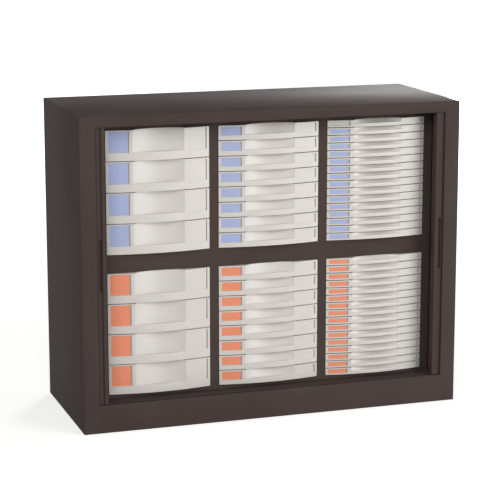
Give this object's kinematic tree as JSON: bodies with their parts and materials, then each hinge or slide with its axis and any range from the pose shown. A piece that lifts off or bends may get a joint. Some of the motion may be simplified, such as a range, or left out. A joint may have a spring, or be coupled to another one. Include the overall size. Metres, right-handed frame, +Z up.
{
  "type": "tambour door drawer cabinet",
  "caption": "Low steel cabinet whose slatted shutters slide into its sides, with stacks of deep, medium and thin moulded drawers behind them.",
  "frame": {"origin": "on the floor, at the middle of the cabinet's footprint", "axes": "+X to the right as seen from the front, +Y from the front to the back, +Z up"},
  "size_m": [1, 0.4, 0.795],
  "materials": {
    "shell_paint": "dark brown-grey powder coat, fine texture",
    "rack_paint": "dark brown-grey enamel, satin",
    "shutter_plastic": "dark brown-grey extruded plastic, satin",
    "drawer_plastic": "pale warm grey moulded polystyrene, satin"
  },
  "bodies": {
    "cabinet": {"carcass": "shell_paint", "drawer_rack": "rack_paint"},
    "left_shutter": {"left_tambour_shutter": "shutter_plastic"},
    "right_shutter": {"right_tambour_shutter": "shutter_plastic"},
    "upper_deep_drawer_1": {"upper_deep_drawer_1": "drawer_plastic"},
    "upper_deep_drawer_2": {"upper_deep_drawer_2": "drawer_plastic"},
    "upper_deep_drawer_3": {"upper_deep_drawer_3": "drawer_plastic"},
    "upper_deep_drawer_4": {"upper_deep_drawer_4": "drawer_plastic"},
    "upper_medium_drawer_1": {"upper_medium_drawer_1": "drawer_plastic"},
    "upper_medium_drawer_2": {"upper_medium_drawer_2": "drawer_plastic"},
    "upper_medium_drawer_3": {"upper_medium_drawer_3": "drawer_plastic"},
    "upper_medium_drawer_4": {"upper_medium_drawer_4": "drawer_plastic"},
    "upper_medium_drawer_5": {"upper_medium_drawer_5": "drawer_plastic"},
    "upper_medium_drawer_6": {"upper_medium_drawer_6": "drawer_plastic"},
    "upper_medium_drawer_7": {"upper_medium_drawer_7": "drawer_plastic"},
    "upper_medium_drawer_8": {"upper_medium_drawer_8": "drawer_plastic"},
    "upper_thin_drawer_1": {"upper_thin_drawer_1": "drawer_plastic"},
    "upper_thin_drawer_2": {"upper_thin_drawer_2": "drawer_plastic"},
    "upper_thin_drawer_3": {"upper_thin_drawer_3": "drawer_plastic"},
    "upper_thin_drawer_4": {"upper_thin_drawer_4": "drawer_plastic"},
    "upper_thin_drawer_5": {"upper_thin_drawer_5": "drawer_plastic"},
    "upper_thin_drawer_6": {"upper_thin_drawer_6": "drawer_plastic"},
    "upper_thin_drawer_7": {"upper_thin_drawer_7": "drawer_plastic"},
    "upper_thin_drawer_8": {"upper_thin_drawer_8": "drawer_plastic"},
    "upper_thin_drawer_9": {"upper_thin_drawer_9": "drawer_plastic"},
    "upper_thin_drawer_10": {"upper_thin_drawer_10": "drawer_plastic"},
    "upper_thin_drawer_11": {"upper_thin_drawer_11": "drawer_plastic"},
    "upper_thin_drawer_12": {"upper_thin_drawer_12": "drawer_plastic"},
    "upper_thin_drawer_13": {"upper_thin_drawer_13": "drawer_plastic"},
    "upper_thin_drawer_14": {"upper_thin_drawer_14": "drawer_plastic"},
    "upper_thin_drawer_15": {"upper_thin_drawer_15": "drawer_plastic"},
    "upper_thin_drawer_16": {"upper_thin_drawer_16": "drawer_plastic"},
    "lower_deep_drawer_1": {"lower_deep_drawer_1": "drawer_plastic"},
    "lower_deep_drawer_2": {"lower_deep_drawer_2": "drawer_plastic"},
    "lower_deep_drawer_3": {"lower_deep_drawer_3": "drawer_plastic"},
    "lower_deep_drawer_4": {"lower_deep_drawer_4": "drawer_plastic"},
    "lower_medium_drawer_1": {"lower_medium_drawer_1": "drawer_plastic"},
    "lower_medium_drawer_2": {"lower_medium_drawer_2": "drawer_plastic"},
    "lower_medium_drawer_3": {"lower_medium_drawer_3": "drawer_plastic"},
    "lower_medium_drawer_4": {"lower_medium_drawer_4": "drawer_plastic"},
    "lower_medium_drawer_5": {"lower_medium_drawer_5": "drawer_plastic"},
    "lower_medium_drawer_6": {"lower_medium_drawer_6": "drawer_plastic"},
    "lower_medium_drawer_7": {"lower_medium_drawer_7": "drawer_plastic"},
    "lower_medium_drawer_8": {"lower_medium_drawer_8": "drawer_plastic"},
    "lower_thin_drawer_1": {"lower_thin_drawer_1": "drawer_plastic"},
    "lower_thin_drawer_2": {"lower_thin_drawer_2": "drawer_plastic"},
    "lower_thin_drawer_3": {"lower_thin_drawer_3": "drawer_plastic"},
    "lower_thin_drawer_4": {"lower_thin_drawer_4": "drawer_plastic"},
    "lower_thin_drawer_5": {"lower_thin_drawer_5": "drawer_plastic"},
    "lower_thin_drawer_6": {"lower_thin_drawer_6": "drawer_plastic"},
    "lower_thin_drawer_7": {"lower_thin_drawer_7": "drawer_plastic"},
    "lower_thin_drawer_8": {"lower_thin_drawer_8": "drawer_plastic"},
    "lower_thin_drawer_9": {"lower_thin_drawer_9": "drawer_plastic"},
    "lower_thin_drawer_10": {"lower_thin_drawer_10": "drawer_plastic"},
    "lower_thin_drawer_11": {"lower_thin_drawer_11": "drawer_plastic"},
    "lower_thin_drawer_12": {"lower_thin_drawer_12": "drawer_plastic"},
    "lower_thin_drawer_13": {"lower_thin_drawer_13": "drawer_plastic"},
    "lower_thin_drawer_14": {"lower_thin_drawer_14": "drawer_plastic"},
    "lower_thin_drawer_15": {"lower_thin_drawer_15": "drawer_plastic"},
    "lower_thin_drawer_16": {"lower_thin_drawer_16": "drawer_plastic"}
  },
  "joints": [
    {"name": "close_left_shutter", "type": "slide", "parent": "cabinet", "child": "left_shutter", "axis": [-1, 0, 0], "range_m": [-0.4355, 0], "deforming": ["left_tambour_shutter"]},
    {"name": "close_right_shutter", "type": "slide", "parent": "cabinet", "child": "right_shutter", "axis": [1, 0, 0], "range_m": [-0.4355, 0], "deforming": ["right_tambour_shutter"]},
    {"name": "pull_upper_deep_drawer_1", "type": "slide", "parent": "cabinet", "child": "upper_deep_drawer_1", "axis": [0, -1, 0], "range_m": [0, 0.25]},
    {"name": "pull_upper_deep_drawer_2", "type": "slide", "parent": "cabinet", "child": "upper_deep_drawer_2", "axis": [0, -1, 0], "range_m": [0, 0.25]},
    {"name": "pull_upper_deep_drawer_3", "type": "slide", "parent": "cabinet", "child": "upper_deep_drawer_3", "axis": [0, -1, 0], "range_m": [0, 0.25]},
    {"name": "pull_upper_deep_drawer_4", "type": "slide", "parent": "cabinet", "child": "upper_deep_drawer_4", "axis": [0, -1, 0], "range_m": [0, 0.25]},
    {"name": "pull_upper_medium_drawer_1", "type": "slide", "parent": "cabinet", "child": "upper_medium_drawer_1", "axis": [0, -1, 0], "range_m": [0, 0.25]},
    {"name": "pull_upper_medium_drawer_2", "type": "slide", "parent": "cabinet", "child": "upper_medium_drawer_2", "axis": [0, -1, 0], "range_m": [0, 0.25]},
    {"name": "pull_upper_medium_drawer_3", "type": "slide", "parent": "cabinet", "child": "upper_medium_drawer_3", "axis": [0, -1, 0], "range_m": [0, 0.25]},
    {"name": "pull_upper_medium_drawer_4", "type": "slide", "parent": "cabinet", "child": "upper_medium_drawer_4", "axis": [0, -1, 0], "range_m": [0, 0.25]},
    {"name": "pull_upper_medium_drawer_5", "type": "slide", "parent": "cabinet", "child": "upper_medium_drawer_5", "axis": [0, -1, 0], "range_m": [0, 0.25]},
    {"name": "pull_upper_medium_drawer_6", "type": "slide", "parent": "cabinet", "child": "upper_medium_drawer_6", "axis": [0, -1, 0], "range_m": [0, 0.25]},
    {"name": "pull_upper_medium_drawer_7", "type": "slide", "parent": "cabinet", "child": "upper_medium_drawer_7", "axis": [0, -1, 0], "range_m": [0, 0.25]},
    {"name": "pull_upper_medium_drawer_8", "type": "slide", "parent": "cabinet", "child": "upper_medium_drawer_8", "axis": [0, -1, 0], "range_m": [0, 0.25]},
    {"name": "pull_upper_thin_drawer_1", "type": "slide", "parent": "cabinet", "child": "upper_thin_drawer_1", "axis": [0, -1, 0], "range_m": [0, 0.25]},
    {"name": "pull_upper_thin_drawer_2", "type": "slide", "parent": "cabinet", "child": "upper_thin_drawer_2", "axis": [0, -1, 0], "range_m": [0, 0.25]},
    {"name": "pull_upper_thin_drawer_3", "type": "slide", "parent": "cabinet", "child": "upper_thin_drawer_3", "axis": [0, -1, 0], "range_m": [0, 0.25]},
    {"name": "pull_upper_thin_drawer_4", "type": "slide", "parent": "cabinet", "child": "upper_thin_drawer_4", "axis": [0, -1, 0], "range_m": [0, 0.25]},
    {"name": "pull_upper_thin_drawer_5", "type": "slide", "parent": "cabinet", "child": "upper_thin_drawer_5", "axis": [0, -1, 0], "range_m": [0, 0.25]},
    {"name": "pull_upper_thin_drawer_6", "type": "slide", "parent": "cabinet", "child": "upper_thin_drawer_6", "axis": [0, -1, 0], "range_m": [0, 0.25]},
    {"name": "pull_upper_thin_drawer_7", "type": "slide", "parent": "cabinet", "child": "upper_thin_drawer_7", "axis": [0, -1, 0], "range_m": [0, 0.25]},
    {"name": "pull_upper_thin_drawer_8", "type": "slide", "parent": "cabinet", "child": "upper_thin_drawer_8", "axis": [0, -1, 0], "range_m": [0, 0.25]},
    {"name": "pull_upper_thin_drawer_9", "type": "slide", "parent": "cabinet", "child": "upper_thin_drawer_9", "axis": [0, -1, 0], "range_m": [0, 0.25]},
    {"name": "pull_upper_thin_drawer_10", "type": "slide", "parent": "cabinet", "child": "upper_thin_drawer_10", "axis": [0, -1, 0], "range_m": [0, 0.25]},
    {"name": "pull_upper_thin_drawer_11", "type": "slide", "parent": "cabinet", "child": "upper_thin_drawer_11", "axis": [0, -1, 0], "range_m": [0, 0.25]},
    {"name": "pull_upper_thin_drawer_12", "type": "slide", "parent": "cabinet", "child": "upper_thin_drawer_12", "axis": [0, -1, 0], "range_m": [0, 0.25]},
    {"name": "pull_upper_thin_drawer_13", "type": "slide", "parent": "cabinet", "child": "upper_thin_drawer_13", "axis": [0, -1, 0], "range_m": [0, 0.25]},
    {"name": "pull_upper_thin_drawer_14", "type": "slide", "parent": "cabinet", "child": "upper_thin_drawer_14", "axis": [0, -1, 0], "range_m": [0, 0.25]},
    {"name": "pull_upper_thin_drawer_15", "type": "slide", "parent": "cabinet", "child": "upper_thin_drawer_15", "axis": [0, -1, 0], "range_m": [0, 0.25]},
    {"name": "pull_upper_thin_drawer_16", "type": "slide", "parent": "cabinet", "child": "upper_thin_drawer_16", "axis": [0, -1, 0], "range_m": [0, 0.25]},
    {"name": "pull_lower_deep_drawer_1", "type": "slide", "parent": "cabinet", "child": "lower_deep_drawer_1", "axis": [0, -1, 0], "range_m": [0, 0.25]},
    {"name": "pull_lower_deep_drawer_2", "type": "slide", "parent": "cabinet", "child": "lower_deep_drawer_2", "axis": [0, -1, 0], "range_m": [0, 0.25]},
    {"name": "pull_lower_deep_drawer_3", "type": "slide", "parent": "cabinet", "child": "lower_deep_drawer_3", "axis": [0, -1, 0], "range_m": [0, 0.25]},
    {"name": "pull_lower_deep_drawer_4", "type": "slide", "parent": "cabinet", "child": "lower_deep_drawer_4", "axis": [0, -1, 0], "range_m": [0, 0.25]},
    {"name": "pull_lower_medium_drawer_1", "type": "slide", "parent": "cabinet", "child": "lower_medium_drawer_1", "axis": [0, -1, 0], "range_m": [0, 0.25]},
    {"name": "pull_lower_medium_drawer_2", "type": "slide", "parent": "cabinet", "child": "lower_medium_drawer_2", "axis": [0, -1, 0], "range_m": [0, 0.25]},
    {"name": "pull_lower_medium_drawer_3", "type": "slide", "parent": "cabinet", "child": "lower_medium_drawer_3", "axis": [0, -1, 0], "range_m": [0, 0.25]},
    {"name": "pull_lower_medium_drawer_4", "type": "slide", "parent": "cabinet", "child": "lower_medium_drawer_4", "axis": [0, -1, 0], "range_m": [0, 0.25]},
    {"name": "pull_lower_medium_drawer_5", "type": "slide", "parent": "cabinet", "child": "lower_medium_drawer_5", "axis": [0, -1, 0], "range_m": [0, 0.25]},
    {"name": "pull_lower_medium_drawer_6", "type": "slide", "parent": "cabinet", "child": "lower_medium_drawer_6", "axis": [0, -1, 0], "range_m": [0, 0.25]},
    {"name": "pull_lower_medium_drawer_7", "type": "slide", "parent": "cabinet", "child": "lower_medium_drawer_7", "axis": [0, -1, 0], "range_m": [0, 0.25]},
    {"name": "pull_lower_medium_drawer_8", "type": "slide", "parent": "cabinet", "child": "lower_medium_drawer_8", "axis": [0, -1, 0], "range_m": [0, 0.25]},
    {"name": "pull_lower_thin_drawer_1", "type": "slide", "parent": "cabinet", "child": "lower_thin_drawer_1", "axis": [0, -1, 0], "range_m": [0, 0.25]},
    {"name": "pull_lower_thin_drawer_2", "type": "slide", "parent": "cabinet", "child": "lower_thin_drawer_2", "axis": [0, -1, 0], "range_m": [0, 0.25]},
    {"name": "pull_lower_thin_drawer_3", "type": "slide", "parent": "cabinet", "child": "lower_thin_drawer_3", "axis": [0, -1, 0], "range_m": [0, 0.25]},
    {"name": "pull_lower_thin_drawer_4", "type": "slide", "parent": "cabinet", "child": "lower_thin_drawer_4", "axis": [0, -1, 0], "range_m": [0, 0.25]},
    {"name": "pull_lower_thin_drawer_5", "type": "slide", "parent": "cabinet", "child": "lower_thin_drawer_5", "axis": [0, -1, 0], "range_m": [0, 0.25]},
    {"name": "pull_lower_thin_drawer_6", "type": "slide", "parent": "cabinet", "child": "lower_thin_drawer_6", "axis": [0, -1, 0], "range_m": [0, 0.25]},
    {"name": "pull_lower_thin_drawer_7", "type": "slide", "parent": "cabinet", "child": "lower_thin_drawer_7", "axis": [0, -1, 0], "range_m": [0, 0.25]},
    {"name": "pull_lower_thin_drawer_8", "type": "slide", "parent": "cabinet", "child": "lower_thin_drawer_8", "axis": [0, -1, 0], "range_m": [0, 0.25]},
    {"name": "pull_lower_thin_drawer_9", "type": "slide", "parent": "cabinet", "child": "lower_thin_drawer_9", "axis": [0, -1, 0], "range_m": [0, 0.25]},
    {"name": "pull_lower_thin_drawer_10", "type": "slide", "parent": "cabinet", "child": "lower_thin_drawer_10", "axis": [0, -1, 0], "range_m": [0, 0.25]},
    {"name": "pull_lower_thin_drawer_11", "type": "slide", "parent": "cabinet", "child": "lower_thin_drawer_11", "axis": [0, -1, 0], "range_m": [0, 0.25]},
    {"name": "pull_lower_thin_drawer_12", "type": "slide", "parent": "cabinet", "child": "lower_thin_drawer_12", "axis": [0, -1, 0], "range_m": [0, 0.25]},
    {"name": "pull_lower_thin_drawer_13", "type": "slide", "parent": "cabinet", "child": "lower_thin_drawer_13", "axis": [0, -1, 0], "range_m": [0, 0.25]},
    {"name": "pull_lower_thin_drawer_14", "type": "slide", "parent": "cabinet", "child": "lower_thin_drawer_14", "axis": [0, -1, 0], "range_m": [0, 0.25]},
    {"name": "pull_lower_thin_drawer_15", "type": "slide", "parent": "cabinet", "child": "lower_thin_drawer_15", "axis": [0, -1, 0], "range_m": [0, 0.25]},
    {"name": "pull_lower_thin_drawer_16", "type": "slide", "parent": "cabinet", "child": "lower_thin_drawer_16", "axis": [0, -1, 0], "range_m": [0, 0.25]}
  ]
}
